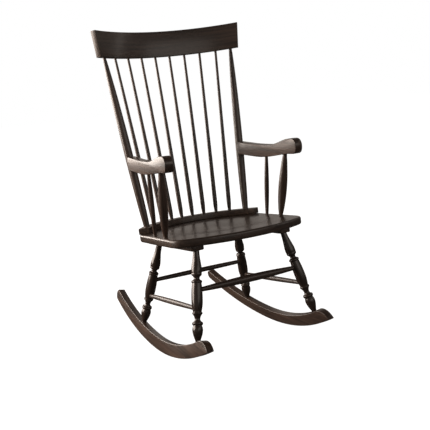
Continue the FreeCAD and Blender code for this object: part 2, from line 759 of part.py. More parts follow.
arm_screws = []
arm_plugs = []
ARM_SUPPORTS = (
    # name, foot across, foot depth, head depth, end, belly, where the belly is
    ("arm_post", 237, -124.5, -150.0, "arm_post_end", "arm_post_belly", 0.49),
    ("arm_spindle", 234.5, -33.0, -35.5, "arm_spindle_end", "arm_spindle_belly", 0.5),
)
for word, side in SIDES:
    back = Vector(side * size("arm_rear_half"), size("arm_rear_depth"), 0)
    crown = Vector(side * size("arm_front_half"), size("arm_front_depth"), 0)
    run = (crown - back).Length
    splay = math.degrees(math.atan2(crown.x - back.x, back.y - crown.y))
    label = f"{word}_arm"
    arm = board(label, "YZ_Plane", arm_outline(run), "arm_thick", midplane=True)
    arm.Placement = Placement(back, Rotation(Vector(0, 0, 1), splay))
    post = posts[side, "body"]
    arm_tools = [post]

    def arm_middle(depth):
        part = (size("arm_rear_depth") - depth) / (size("arm_rear_depth") - size("arm_front_depth"))
        return back.x + (crown.x - back.x) * part

    for kind, across, foot_depth, head_depth, end, belly, peak in ARM_SUPPORTS:
        foot = seat_at_depth(side * across, foot_depth)
        head = Vector(arm_middle(head_depth), head_depth, arm_under(head_depth))
        deep = size("socket_arm")
        piece = turned(f"{word}_{kind}",
                       bellied_runs((head - foot).Length, end, belly, deep, deep, peak=peak, flat=6))
        piece.Placement = along(foot, head)
        node(piece, f"{word}_{kind}")
        rise = toward(head, foot, -deep)
        sink = toward(foot, head, -deep)
        arm_tools.append(rod(f"{word}_{kind}_arm_hole", toward(head, foot, 25), rise, end))
        seat_tools.append(rod(f"{word}_{kind}_seat_hole", sink, toward(foot, head, 25), end))

    # a screw through the back post into the arm, its head sunk and plugged
    foot, head = posts[side]
    level = toward(foot, head, (664.0 - foot.z) / (head.z - foot.z) * (head - foot).Length)
    run_way = Vector(crown.x - back.x, crown.y - back.y, 0).normalize()
    behind = level - run_way * 40
    sunk = level - run_way * (size("post_belly") / 2 - size("plug_tall"))
    tip = level + run_way * 50
    bore = rod(f"{word}_post_bore", behind, sunk, "plug_wide")
    pilot = rod(f"{word}_arm_pilot", sunk, tip, "screw_shank")
    mouth = doc.addObject("Part::Cone", f"{word}_post_mouth")
    bind(mouth, "Radius1", "screw_head / 2")
    bind(mouth, "Radius2", "screw_shank / 2")
    bind(mouth, "Height", "screw_head_tall")
    mouth.Placement = along(sunk, tip)
    arm_screws.append(screw(f"{word}_arm_screw", sunk, tip, 0))
    plug_rod = rod(f"{word}_plug_rod", behind, sunk, "plug_wide")
    plug = doc.addObject("Part::Common", f"{word}_arm_plug")
    plug.Base = plug_rod
    plug.Tool = post
    arm_plugs.append(plug)
    node(bored(arm, arm_tools + [pilot]), label)
    node(bored(post, [bore, mouth, pilot, post_pins[side]]), f"{word}_back_post")
node(gathered("arm_screws", arm_screws), "arm_screws")
node(gathered("arm_screw_plugs", arm_plugs), "arm_screw_plugs")

# ---------------------------------------------------------------- fixing the seat, riser and cleats

riser_screws = []
for place in (-3.0, -1.0, 1.0, 3.0):
    x = place * size("spindle_seat_pitch")
    u = arc_centre + math.sqrt(size("back_arc") ** 2 - x ** 2)
    head = on_seat(x, u, -size("seat_board"))
    tip = on_seat(x, u, 0.55 * size("riser_tall"))
    name = f"riser_screw_{int(place) + 4}"
    riser_screws.append(screw(name, head, tip, 0.4))
    mouth = doc.addObject("Part::Cone", name + "_mouth")
    bind(mouth, "Radius1", "screw_head / 2 + 0.5")
    bind(mouth, "Radius2", "screw_shank / 2 + 0.5")
    bind(mouth, "Height", "screw_head_tall + 0.4")
    mouth.Placement = along(head, tip)
    seat_tools.append(mouth)
    seat_tools.append(rod(name + "_seat_pilot", head, tip, "screw_shank"))
    riser_tools.append(rod(name + "_riser_pilot", head, tip, "screw_shank"))

cleat_screws = []
for word, side in SIDES:
    cleat_tools = []
    for kind in ("front", "rear"):
        foot, head = legs[kind, side]
        rise = toward(head, foot, -size("socket_leg_head"))
        cleat_tools.append(rod(f"{word}_{kind}_cleat_socket", toward(head, foot, 30), rise, "leg_head"))
    for spot in (-0.45, 0.0, 0.45):
        u = spot * (size("cleat_front") + size("cleat_rear")) / 2 - 9
        head = on_seat(side * size("cleat_offset"), u, -size("seat_board") - size("cleat_tall"))
        tip = on_seat(side * size("cleat_offset"), u, -0.45 * size("seat_board"))
        name = f"{word}_cleat_screw_{int(spot * 100) + 46}"
        cleat_screws.append(screw(name, head, tip, 0.4))
        mouth = doc.addObject("Part::Cone", name + "_mouth")
        bind(mouth, "Radius1", "screw_head / 2 + 0.5")
        bind(mouth, "Radius2", "screw_shank / 2 + 0.5")
        bind(mouth, "Height", "screw_head_tall + 0.4")
        mouth.Placement = along(head, tip)
        cleat_tools.append(mouth)
        cleat_tools.append(rod(name + "_cleat_pilot", head, tip, "screw_shank"))
        seat_tools.append(rod(name + "_seat_pilot", head, tip, "screw_shank"))
    node(bored(cleat_parts[side], cleat_tools), f"{word}_cleat")
node(bored(seat, seat_tools), "seat")
node(bored(riser, riser_tools), "seat_riser")
node(gathered("riser_screws", riser_screws), "riser_screws")
node(gathered("cleat_screws", cleat_screws), "cleat_screws")

# ---------------------------------------------------------------- check and write

doc.recompute()
for thing in doc.Objects:
    if "Invalid" in thing.State or "Error" in thing.State:
        raise SystemExit(f"{thing.Label}: {thing.State}")
os.makedirs("parts", exist_ok=True)
for piece in nodes:
    shape = piece.Shape
    if shape.isNull() or not shape.isValid() or not shape.Solids:
        raise SystemExit(f"{piece.Label}: bad shape")
    shape.exportStep(f"parts/{piece.Label}.step")
print(len(nodes), "sub-parts written")
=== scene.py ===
import math

import bpy
from mathutils import Matrix, Vector


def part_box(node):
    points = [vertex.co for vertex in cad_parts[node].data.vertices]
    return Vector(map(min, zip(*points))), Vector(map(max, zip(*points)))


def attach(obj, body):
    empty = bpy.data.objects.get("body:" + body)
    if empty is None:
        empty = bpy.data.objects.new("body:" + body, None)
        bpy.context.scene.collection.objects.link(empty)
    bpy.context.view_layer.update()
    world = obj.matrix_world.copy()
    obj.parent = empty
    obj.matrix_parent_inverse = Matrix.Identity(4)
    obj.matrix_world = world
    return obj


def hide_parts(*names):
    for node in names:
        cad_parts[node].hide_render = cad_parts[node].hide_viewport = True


# A rocking chair in dark espresso lacquer: turned legs, spindles and stretchers, a saddled seat,
# scrolled arms and a bowed crest rail.  Metres; the chair faces -Y, +Z is up, and left means -X.

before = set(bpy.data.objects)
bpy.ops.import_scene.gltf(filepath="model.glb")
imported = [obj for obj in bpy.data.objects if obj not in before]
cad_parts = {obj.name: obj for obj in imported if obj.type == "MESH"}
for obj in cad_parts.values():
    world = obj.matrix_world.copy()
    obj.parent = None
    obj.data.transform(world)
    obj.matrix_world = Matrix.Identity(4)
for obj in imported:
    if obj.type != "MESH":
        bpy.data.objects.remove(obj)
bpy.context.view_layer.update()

SIDES = (("left", -1), ("right", 1))

# driving sizes, metres and degrees
SEAT_SLOPE = 7.34
SEAT_DATUM = Vector((0.0, -0.050, 0.4263))
SEAT_HALF = 0.261
SEAT_REAR_HALF = 0.253
SEAT_REACH = 0.267
SEAT_BOW = 0.449
SEAT_CORNER = 0.060
SEAT_THICK = 0.028
SEAT_ROUND = 0.0075
SEAT_HIP_ROUND = 0.018
SEAT_HIP_FLARE = 0.001
SADDLE_DEEP = 0.006
SADDLE_HALF_WIDE = 0.205
SADDLE_HALF_LONG = 0.165
SADDLE_MIDDLE = -0.030
SADDLE_STEEPNESS = 0.8
SADDLE_RIDGE = 0.0016
SADDLE_RIDGE_WIDE = 0.045
FACE_SLACK = 0.0004
ARC = 0.292
ARC_CENTRE = 0.226 - ARC
RISER_WIDE = 0.038
RISER_TALL = 0.022
RISER_SWEEP = 55
RISER_EDGE = 0.0035
RISER_SETTLE = 0.001
SEAT_RIM = 0.025
CLEAT_WIDE = 0.048
CLEAT_TALL = 0.020
CLEAT_OFFSET = 0.175
CLEAT_FRONT = 0.190
CLEAT_REAR = 0.172
CLEAT_CORNER = 0.006
CLEAT_EDGE = 0.0030
CREST_BEND = 0.524
CREST_THICK = 0.020
CREST_TALL = 0.0955
CREST_LEAN = 12
CREST_HALF_FOOT = 0.285
CREST_END_SLANT = 6.8
CREST_SPARE = 3
CREST_EDGE = 0.0022
CREST_FOOT = Vector((0.0, 0.2976, 1.0285))
ARM_THICK = 0.031
ARM_BACK = Vector((0.232, 0.126, 0.0))
ARM_CROWN = Vector((0.253, -0.205, 0.0))
ARM_BACK_SPARE = 0.005
ARM_EDGE = 0.0022
ROCKER_FRONT_BEND = 0.794
ROCKER_REAR_BEND = 1.250
ROCKER_CROWN_BEND = 0.705
ROCKER_TAIL_BEND = 1.293
ROCKER_CONTACT = -0.0034
ROCKER_DEEP = 0.0418
ROCKER_THICK = 0.026
ROCKER_HALF_GAP = 0.2418
ROCKER_TOE = 2.4
ROCKER_CANT = 10.8
ROCKER_NOSE_BULGE = 0.0155
ROCKER_NOSE_LENGTH = 0.078
ROCKER_FRONT_REACH = 0.4078
ROCKER_REAR_REACH = 0.4105
ROCKER_TAIL_LOW = 0.003
ROCKER_TAIL_HIGH = -0.005
ROCKER_TAIL_BULGE = 0.3
ROCKER_EDGE = 0.0024
LATHE_STEPS = 36
SPINDLE_LATHE_STEPS = 24

# how far the grain of one piece is shifted from the next one's, so that no two look alike
GRAIN_STEP = 0.37
GRAIN_RISE = 1.7

# takes a drawing in the XY plane to a board on edge: its X runs back and its Y stands up
STAND_ON_EDGE = Matrix(((0, 0, 1, 0), (1, 0, 0, 0), (0, 1, 0, 0), (0, 0, 0, 1)))


# ---------------------------------------------------------------- finishes

def shader_nodes(name):
    material = bpy.data.materials.new(name)
    material.use_nodes = True
    tree = material.node_tree
    return material, tree, tree.nodes["Principled BSDF"]


def add(tree, kind, **settings):
    """A new node, each setting going to its socket of that name, or else to the node itself."""
    made = tree.nodes.new(kind)
    for key, value in settings.items():
        if key in made.inputs:
            made.inputs[key].default_value = value
        else:
            setattr(made, key, value)
    return made


def ramp(tree, source, *stops):
    """A colour ramp with (place, colour) stops; a bare number is a grey."""
    made = tree.nodes.new("ShaderNodeValToRGB")
    elements = made.color_ramp.elements
    while len(elements) < len(stops):
        elements.new(0.5)
    for element, (place, colour) in zip(elements, stops):
        element.position = place
        element.color = (*colour, 1.0) if isinstance(colour, tuple) else (colour, colour, colour, 1.0)
    tree.links.new(source, made.inputs["Fac"])
    return made.outputs["Color"]


def figure(tree, grain, scale, **settings):
    """A noise drawn out along the piece's own grain."""
    stretch = add(tree, "ShaderNodeMapping", Scale=scale)
    tree.links.new(grain.outputs["Vector"], stretch.inputs["Vector"])
    noise = add(tree, "ShaderNodeTexNoise", Scale=1.0, **settings)
    tree.links.new(stretch.outputs["Vector"], noise.inputs["Vector"])
    return noise.outputs["Fac"]


def multiplied(tree, first, second):
    product = add(tree, "ShaderNodeMix", data_type="RGBA", blend_type="MULTIPLY")
    product.inputs["Factor"].default_value = 1.0
    tree.links.new(first, product.inputs["A"])
    tree.links.new(second, product.inputs["B"])
    return product.outputs["Result"]


PORE_DEPTH = 0.00006


def espresso_lacquer(name, dark, light, smoothest):
    """Espresso stain under a satin lacquer: long streaks, fine open pores and a soft clear coat."""
    material, tree, surface = shader_nodes(name)
    link = tree.links.new
    grain = add(tree, "ShaderNodeAttribute", attribute_name="grain")
    streaks = figure(tree, grain, (95.0, 95.0, 3.6), Detail=7.0, Roughness=0.62, Distortion=0.5)
    pores = figure(tree, grain, (620.0, 620.0, 26.0), Detail=3.0, Roughness=0.5)
    clouds = figure(tree, grain, (9.0, 9.0, 5.0), Detail=3.0, Roughness=0.55)

    middling = tuple(0.5 * (a + b) for a, b in zip(dark, light))
    stain = ramp(tree, streaks, (0.32, dark), (0.52, middling), (0.72, light))
    pore_tone = ramp(tree, pores, (0.34, 0.62), (0.46, 1.0))
    cloud_tone = ramp(tree, clouds, (0.30, 0.84), (0.70, 1.12))
    colour = multiplied(tree, multiplied(tree, stain, pore_tone), cloud_tone)
    link(colour, surface.inputs["Base Color"])

    roughness = ramp(tree, clouds, (0.3, smoothest), (0.7, smoothest + 0.08))
    link(roughness, surface.inputs["Roughness"])
    relief = add(tree, "ShaderNodeBump", Strength=0.35, Distance=PORE_DEPTH)
    link(pore_tone, relief.inputs["Height"])
    link(relief.outputs["Normal"], surface.inputs["Normal"])
    surface.inputs["Coat Weight"].default_value = 0.4
    surface.inputs["Coat Roughness"].default_value = 0.20
    surface.inputs["Specular IOR Level"].default_value = 0.5
    return material


def zinc_plate():
    """Zinc plated screws: a grey metal with faint mottling."""
    material, tree, surface = shader_nodes("zinc_plate")
    place = add(tree, "ShaderNodeTexCoord")
    mottle = add(tree, "ShaderNodeTexNoise", Scale=900.0, Detail=4.0)
    tree.links.new(place.outputs["Object"], mottle.inputs["Vector"])
    tone = ramp(tree, mottle.outputs["Fac"], (0.3, (0.34, 0.33, 0.31)), (0.7, (0.52, 0.51, 0.48)))
    tree.links.new(tone, surface.inputs["Base Color"])
    wear = ramp(tree, mottle.outputs["Fac"], (0.3, 0.28), (0.7, 0.46))
    tree.links.new(wear, surface.inputs["Roughness"])
    surface.inputs["Metallic"].default_value = 1.0
    return material


def stained_plug():
    """End grain of the wooden plugs, stained like the rest."""
    material, tree, surface = shader_nodes("stained_plug")
    place = add(tree, "ShaderNodeTexCoord")
    rings = add(tree, "ShaderNodeTexNoise", Scale=700.0, Detail=4.0, Roughness=0.7)
    tree.links.new(place.outputs["Object"], rings.inputs["Vector"])
    tone = ramp(tree, rings.outputs["Fac"], (0.35, (0.008, 0.006, 0.005)), (0.65, (0.024, 0.016, 0.012)))
    tree.links.new(tone, surface.inputs["Base Color"])
    wear = ramp(tree, rings.outputs["Fac"], (0.3, 0.34), (0.7, 0.5))
    tree.links.new(wear, surface.inputs["Roughness"])
    return material


WOOD = espresso_lacquer("espresso_lacquer", (0.021, 0.0132, 0.0096), (0.104, 0.0650, 0.0470), 0.32)
STRETCHER_WOOD = espresso_lacquer(
    "espresso_stretcher_lacquer", (0.020, 0.0125, 0.0092), (0.085, 0.0535, 0.0390), 0.46
)
# The legs' lacquer is a darker copy of the same finish: painted shade for the legs under the seat. Its
# lower roughness is their real gloss.
TURNED_WOOD_PAINTED_SHADE = espresso_lacquer(
    "espresso_turned_lacquer_painted_shade", (0.016, 0.0100, 0.0074), (0.050, 0.0315, 0.0232), 0.21
)
SEAT_WOOD = espresso_lacquer(
    "espresso_seat_lacquer", (0.022, 0.0142, 0.0104), (0.074, 0.0480, 0.0345), 0.30
)
ZINC = zinc_plate()
PLUG = stained_plug()


# ---------------------------------------------------------------- bench helpers

def start_alone():
    """Object mode and nothing selected, so that an operator acts on the new piece only."""
    if bpy.context.object and bpy.context.object.mode != "OBJECT":
        bpy.ops.object.mode_set(mode="OBJECT")
    bpy.ops.object.select_all(action="DESELECT")


def only(piece):
    """The one piece selected and active, for the next operator."""
    start_alone()
    piece.select_set(True)
    bpy.context.view_layer.objects.active = piece


def apply_all(piece):
    only(piece)
    for modifier in list(piece.modifiers):
        bpy.ops.object.modifier_apply(modifier=modifier.name)


def remember_grain(piece, along="Z"):
    """Keeps the piece's own bench coordinates for its finish to read, the grain turned to run along Z."""
    mesh = piece.data
    drift = GRAIN_STEP * len(bpy.data.meshes)
    layer = mesh.attributes.new("grain", "FLOAT_VECTOR", "POINT")
    for vertex, slot in zip(mesh.vertices, layer.data):
        x, y, z = vertex.co
        turned_way = {"X": (y, z, x), "Y": (x, z, y), "Z": (x, y, z)}[along]
        slot.vector = (turned_way[0] + drift, turned_way[1], turned_way[2] + GRAIN_RISE * drift)


def place(piece, matrix):
    """Moves the finished piece to its place in the chair, and puts that place in its mesh."""
    piece.matrix_world = matrix
    only(piece)
    bpy.ops.object.transform_apply(location=True, rotation=True, scale=True)


def finish_piece(piece, material, *nodes, smooth, slot="lacquered_wood"):
    """Puts the finish on, shades edges below the angle smooth, hangs the piece under the root body and
    hides the nodes it stands for.
    """
    piece.data.materials.clear()
    piece.data.materials.append(material)
    only(piece)
    bpy.ops.object.shade_smooth_by_angle(angle=math.radians(smooth))
    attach(piece, "root")
    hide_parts(*nodes)


def copied(piece, name):
    twin = piece.copy()
    twin.data = piece.data.copy()
    twin.name = name
    twin.data.name = name
    bpy.context.scene.collection.objects.link(twin)
    return twin


RING_REACH = 0.0007
# two ends are put in order of height only where the axis climbs this steeply
CLIMB = 0.2


def axis_ends(node):
    """The end centres of a straight turned node, from the rings of points at its ends."""
    points = [v.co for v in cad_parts[node].data.vertices]
    low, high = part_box(node)
    middle = (low + high) / 2
    far = max(points, key=lambda p: (p - middle).length)
    near = max(points, key=lambda p: (p - far).length)
    way = (far - near).normalized()
    for _ in range(4):
        heights = [p.dot(way) for p in points]
        ends = []
        for limit in (min(heights), max(heights)):
            ring = [p for p, h in zip(points, heights) if abs(h - limit) < RING_REACH]
            box_low = [min(p[i] for p in ring) for i in range(3)]
            box_high = [max(p[i] for p in ring) for i in range(3)]
            ends.append(Vector([(a + b) / 2 for a, b in zip(box_low, box_high)]))
        way = (ends[1] - ends[0]).normalized()
    low_end, high_end = ends
    if high_end.z <= low_end.z and abs(way.z) >= CLIMB:
        low_end, high_end = high_end, low_end
    return low_end, high_end


def aimed(start, end, stretch=1.0):
    """The placing that takes the bench's Z axis onto a line in the chair, drawn out along it."""
    turn = (end - start).to_track_quat("Z", "Y").to_matrix().to_4x4()
    return Matrix.Translation(start) @ turn @ Matrix.Diagonal((1.0, 1.0, stretch, 1.0))


# ---------------------------------------------------------------- turned pieces

def turning(name, profile, steps=LATHE_STEPS):
    """Turned on the bench's Z axis: a disc drawn up ring by ring to each (height, diameter)."""
    start_alone()
    height, wide = profile[0]
    bpy.ops.mesh.primitive_circle_add(
        vertices=steps, radius=wide / 2, fill_type="NGON", location=(0, 0, height)
    )
    piece = bpy.context.object
    piece.name = name
    bpy.ops.object.transform_apply(location=True, rotation=False, scale=False)
    bpy.ops.object.mode_set(mode="EDIT")
    bpy.ops.mesh.select_all(action="SELECT")
    for (before, was), (after, now) in zip(profile, profile[1:]):
        bpy.ops.mesh.extrude_region_move(TRANSFORM_OT_translate={"value": (0, 0, after - before)})
        bpy.ops.transform.resize(value=(now / was, now / was, 1.0), center_override=(0, 0, after))
    bpy.ops.mesh.select_all(action="SELECT")
    bpy.ops.mesh.normals_make_consistent(inside=False)
    bpy.ops.object.mode_set(mode="OBJECT")
    remember_grain(piece)
    return piece


def smoothed(points, between=3):
    """More points along a profile, eased with a curve through the given ones."""
    fine = []
    for index in range(len(points) - 1):
        p0 = points[max(index - 1, 0)]
        p1, p2 = points[index], points[index + 1]
        p3 = points[min(index + 2, len(points) - 1)]
        for step in range(between):
            part = step / between
            fine.append(tuple(
                0.5 * (2 * b + (c - a) * part + (2 * a - 5 * b + 4 * c - d) * part ** 2
                       + (3 * b - a - 3 * c + d) * part ** 3)
                for a, b, c, d in zip(p0, p1, p2, p3)
            ))
    fine.append(points[-1])
    return fine


SHOULDER = 0.004


def swelled(length, low, belly, high, tenon, peak=0.5):
    """A profile that swells once between two plain ends."""
    rise = peak * length
    fall = length - rise
    return smoothed([
        (-tenon, low),
        (SHOULDER, low),
        (0.25 * rise, low + 0.42 * (belly - low)),
        (0.60 * rise, low + 0.85 * (belly - low)),
        (rise, belly),
        (rise + 0.35 * fall, high + 0.82 * (belly - high)),
        (rise + 0.75 * fall, high + 0.36 * (belly - high)),
        (length - SHOULDER, high),
        (length + tenon, high),
    ])


LEG_SOCKET_FOOT = 0.022
LEG_SOCKET_HEAD = 0.016
# (height above the foot, diameter)
LEG_BULB = [(0.000, 0.0172), (0.004, 0.0176), (0.010, 0.0215), (0.020, 0.0285), (0.031, 0.0340),
            (0.041, 0.0360), (0.049, 0.0335), (0.0545, 0.0290)]
LEG_LOW_RING = [(0.0550, 0.0290), (0.0562, 0.0335), (0.0590, 0.0362), (0.0620, 0.0370), (0.0650, 0.0355),
                (0.0672, 0.0310), (0.0680, 0.0262)]
LEG_NECK = [(0.0682, 0.0262), (0.0705, 0.0222), (0.0745, 0.0192), (0.0790, 0.0196), (0.0850, 0.0232),
            (0.0905, 0.0290)]
LEG_LOW_BEAD = [(0.0908, 0.0290), (0.0922, 0.0330), (0.0950, 0.0352), (0.0980, 0.0340), (0.0998, 0.0296)]
LEG_VASE = [(0.1002, 0.0294), (0.106, 0.0316), (0.116, 0.0352), (0.130, 0.0380), (0.150, 0.0383),
            (0.172, 0.0368), (0.188, 0.0340), (0.1955, 0.0322)]
LEG_HIGH_RING = [(0.1958, 0.0322), (0.1972, 0.0352), (0.2005, 0.0368), (0.2035, 0.0352), (0.2055, 0.0290)]
LEG_COVE = [(0.2058, 0.0288), (0.2078, 0.0222), (0.2110, 0.0200), (0.2150, 0.0212), (0.2188, 0.0268)]
LEG_HIGH_BEAD = [(0.2190, 0.0270), (0.2205, 0.0325), (0.2238, 0.0352), (0.2268, 0.0350)]
LEG_TAPER = [(0.2272, 0.0345), (0.234, 0.0364), (0.244, 0.0360), (0.258, 0.0322), (0.272, 0.0278),
             (0.285, 0.0240)]
LEG_HEAD = 0.0217


def leg_profile(length):
    """Foot to head: bulb, ring, neck, bead, vase, ring, cove, bead and a long taper."""
    taper = LEG_TAPER + [(length - SHOULDER, LEG_HEAD)]
    runs = [LEG_BULB, LEG_LOW_RING, LEG_NECK, LEG_LOW_BEAD, LEG_VASE,
            LEG_HIGH_RING, LEG_COVE, LEG_HIGH_BEAD, taper]
    profile = [(-LEG_SOCKET_FOOT, LEG_BULB[0][1])]
    for run in runs:
        profile += smoothed(run, 2)
    return profile + [(length + LEG_SOCKET_HEAD, LEG_HEAD)]


TURNED_SMOOTH = 52


def turned_piece(node, profile_of, low_tenon, high_tenon, finish=WOOD):
    """Turns a piece for one node and aims it along the node's own axis."""
    start, end = axis_ends(node)
    way = (end - start).normalized()
    foot, head = start + way * low_tenon, end - way * high_tenon
    length = (head - foot).length
    piece = turning("turned_" + node, profile_of(length))
    place(piece, aimed(foot, head))
    finish_piece(piece, finish, node, smooth=TURNED_SMOOTH)


def make_legs():
    for kind in ("front", "rear"):
        for word, _ in SIDES:
            turned_piece(f"{word}_{kind}_leg", leg_profile, LEG_SOCKET_FOOT, LEG_SOCKET_HEAD, TURNED_WOOD_PAINTED_SHADE)


STRETCHER_END = 0.0150
STRETCHER_TENON = 0.002


def make_stretchers():
    sizes = {"front_stretcher": 0.0268, "rear_stretcher": 0.0186,
             "left_side_stretcher": 0.0194, "right_side_stretcher": 0.0194}
    for node, belly in sizes.items():
        def profile(length):
            return swelled(length, STRETCHER_END, belly, STRETCHER_END, STRETCHER_TENON)
        turned_piece(node, profile, STRETCHER_TENON, STRETCHER_TENON, STRETCHER_WOOD)


POST_FOOT_TENON = 0.034
POST_HEAD_TENON = 0.018


def make_back_posts():
    def profile(length):
        return smoothed([
            (-POST_FOOT_TENON, 0.0220), (0.004, 0.0222), (0.035, 0.0248), (0.075, 0.0271), (0.150, 0.0293),
            (0.235, 0.0305), (0.340, 0.0296), (length - 0.176, 0.0259), (length - 0.090, 0.0210),
            (length - 0.030, 0.0156), (length - 0.004, 0.0124),
            (length + POST_HEAD_TENON, 0.0120),
        ])
    for word, _ in SIDES:
        turned_piece(f"{word}_back_post", profile, POST_FOOT_TENON, POST_HEAD_TENON)


SPINDLE_TENON = 0.018


def make_back_spindles():
    """One spindle is turned, and all eight are copies of it, drawn out to their own lengths."""
    def profile(length):
        return smoothed([
            (-SPINDLE_TENON, 0.0120), (0.003, 0.0126), (0.022, 0.0158), (0.045, 0.0170), (0.120, 0.0162),
            (0.300, 0.0137), (0.480, 0.0113), (length - 0.004, 0.0096),
            (length + SPINDLE_TENON, 0.0096),
        ])
    start, end = axis_ends("back_spindle_4")
    bench_length = (end - start).length - 2 * SPINDLE_TENON
    first = turning("turned_back_spindle", profile(bench_length), SPINDLE_LATHE_STEPS)
    for number in range(1, 9):
        node = f"back_spindle_{number}"
        start, end = axis_ends(node)
        way = (end - start).normalized()
        foot, head = start + way * SPINDLE_TENON, end - way * SPINDLE_TENON
        piece = copied(first, "turned_" + node)
        place(piece, aimed(foot, head, (head - foot).length / bench_length))
        finish_piece(piece, WOOD, node, smooth=TURNED_SMOOTH)
    bpy.data.objects.remove(first)


ARM_TENON = 0.020


def arm_post_profile(length):
    return swelled(length, 0.0160, 0.0320, 0.0160, ARM_TENON, 0.49)


def arm_spindle_profile(length):
    return swelled(length, 0.0120, 0.0175, 0.0120, ARM_TENON)


def make_arm_supports():
    for word, _ in SIDES:
        turned_piece(f"{word}_arm_post", arm_post_profile, ARM_TENON, ARM_TENON)
        turned_piece(f"{word}_arm_spindle", arm_spindle_profile, ARM_TENON, ARM_TENON)


# ---------------------------------------------------------------- boards

def arc_through(start, middle, end, steps):
    """Points of the circle through three points, from start up to but not including end."""
    ax, ay = start
    bx, by = middle
    cx, cy = end
    spread = 2 * (ax * (by - cy) + bx * (cy - ay) + cx * (ay - by))
    a2, b2, c2 = ax ** 2 + ay ** 2, bx ** 2 + by ** 2, cx ** 2 + cy ** 2
    ux = (a2 * (by - cy) + b2 * (cy - ay) + c2 * (ay - by)) / spread
    uy = (a2 * (cx - bx) + b2 * (ax - cx) + c2 * (bx - ax)) / spread
    radius = math.hypot(ax - ux, ay - uy)
    first = math.atan2(ay - uy, ax - ux)
    last = math.atan2(cy - uy, cx - ux)
    turn = (last - first + math.pi) % (2 * math.pi) - math.pi
    between = math.atan2(by - uy, bx - ux)
    part = (between - first + math.pi) % (2 * math.pi) - math.pi
    if part * turn < 0 or abs(part) > abs(turn):
        turn -= math.copysign(2 * math.pi, turn)
    angles = [first + turn * step / steps for step in range(steps)]
    return [(ux + radius * math.cos(angle), uy + radius * math.sin(angle)) for angle in angles]


def sawn_board(name, points, thickness, edge, edge_steps=3):
    """A board sawn to an outline in its own XY plane, as thick as said about Z = 0, its edges eased."""
    start_alone()
    drawing = bpy.data.curves.new(name, "CURVE")
    drawing.dimensions = "2D"
    drawing.fill_mode = "BOTH"
    drawing.extrude = thickness / 2 - edge
    drawing.bevel_depth = edge
    drawing.bevel_resolution = edge_steps
    drawing.offset = -edge
    line = drawing.splines.new("POLY")
    line.points.add(len(points) - 1)
    for point, (x, y) in zip(line.points, points):
        point.co = (x, y, 0.0, 1.0)
    line.use_cyclic_u = True
    piece = bpy.data.objects.new(name, drawing)
    bpy.context.scene.collection.objects.link(piece)
    only(piece)
    bpy.ops.object.convert(target="MESH")
    bpy.ops.object.mode_set(mode="EDIT")
    bpy.ops.mesh.select_all(action="SELECT")
    bpy.ops.mesh.remove_doubles(threshold=0.00002)
    bpy.ops.mesh.normals_make_consistent(inside=False)
    bpy.ops.object.mode_set(mode="OBJECT")
    return bpy.context.object


def scored(piece, axis, low, high, pitch):
    """Cuts the piece across by parallel planes, so that its faces can be dished."""
    only(piece)
    bpy.ops.object.mode_set(mode="EDIT")
    normal = [0.0, 0.0, 0.0]
    normal[axis] = 1.0
    for step in range(int((high - low) / pitch) + 1):
        point = [0.0, 0.0, 0.0]
        point[axis] = low + step * pitch
        bpy.ops.mesh.select_all(action="SELECT")
        bpy.ops.mesh.bisect(plane_co=point, plane_no=normal)
    bpy.ops.object.mode_set(mode="OBJECT")


def seat_outline():
    """A bowed front, round front corners, straight sides and an arc round the back."""
    across = SEAT_HALF - SEAT_CORNER
    down = -SEAT_REACH + SEAT_BOW - math.sqrt((SEAT_BOW - SEAT_CORNER) ** 2 - across ** 2)
    bow = math.asin(across / (SEAT_BOW - SEAT_CORNER))
    join = (across + SEAT_CORNER * math.sin(bow), down - SEAT_CORNER * math.cos(bow))
    knee_turn = 0.5 * bow - math.pi / 4
    knee = (across + SEAT_CORNER * math.cos(knee_turn), down + SEAT_CORNER * math.sin(knee_turn))
    edge = ARC + SEAT_RIM
    hip = ARC_CENTRE + math.sqrt(edge ** 2 - SEAT_REAR_HALF ** 2)
    shoulder = hip - SEAT_HIP_ROUND
    turn_in = hip - 0.3 * SEAT_HIP_ROUND
    flare = SEAT_REAR_HALF + SEAT_HIP_FLARE
    return (
        arc_through((-join[0], join[1]), (0.0, -SEAT_REACH), join, 40)
        + arc_through(join, knee, (SEAT_HALF, down), 12)
        + [(SEAT_HALF, down), (flare, shoulder)]
        + arc_through((SEAT_REAR_HALF, turn_in), (0.0, ARC_CENTRE + edge), (-SEAT_REAR_HALF, turn_in), 48)
        + [(-flare, shoulder), (-SEAT_HALF, down)]
        + arc_through((-SEAT_HALF, down), (-knee[0], knee[1]), (-join[0], join[1]), 12)[1:]
    )


def seat_matrix(lift):
    """The placing of things drawn level with the seat, whose upper face slopes down to the back."""
    return (Matrix.Translation(SEAT_DATUM) @ Matrix.Rotation(math.radians(-SEAT_SLOPE), 4, "X")
            @ Matrix.Translation((0.0, 0.0, lift)))


def make_seat():
    piece = sawn_board("saddled_seat", seat_outline(), SEAT_THICK, SEAT_ROUND, 5)
    pitch = 0.012
    scored(piece, 0, -SEAT_HALF + pitch, SEAT_HALF - pitch, pitch)
    scored(piece, 1, -SEAT_REACH + pitch, ARC_CENTRE + ARC, pitch)
    for vertex in piece.data.vertices:
        x, y, z = vertex.co
        if z > SEAT_THICK / 2 - FACE_SLACK:
            # two shallow hollows beside a low ridge, fading out before the edges and the riser
            along = y - SADDLE_MIDDLE
            reach = max(0.0, 1 - (x / SADDLE_HALF_WIDE) ** 2 - (along / SADDLE_HALF_LONG) ** 2)
            hollow = SADDLE_DEEP * (reach * reach * (3 - 2 * reach)) ** SADDLE_STEEPNESS
            ridge = SADDLE_RIDGE * math.exp(-(x / SADDLE_RIDGE_WIDE) ** 2) * reach
            vertex.co.z = z - hollow + ridge
    remember_grain(piece, "X")
    place(piece, seat_matrix(-SEAT_THICK / 2))
    finish_piece(piece, SEAT_WOOD, "seat", smooth=30)


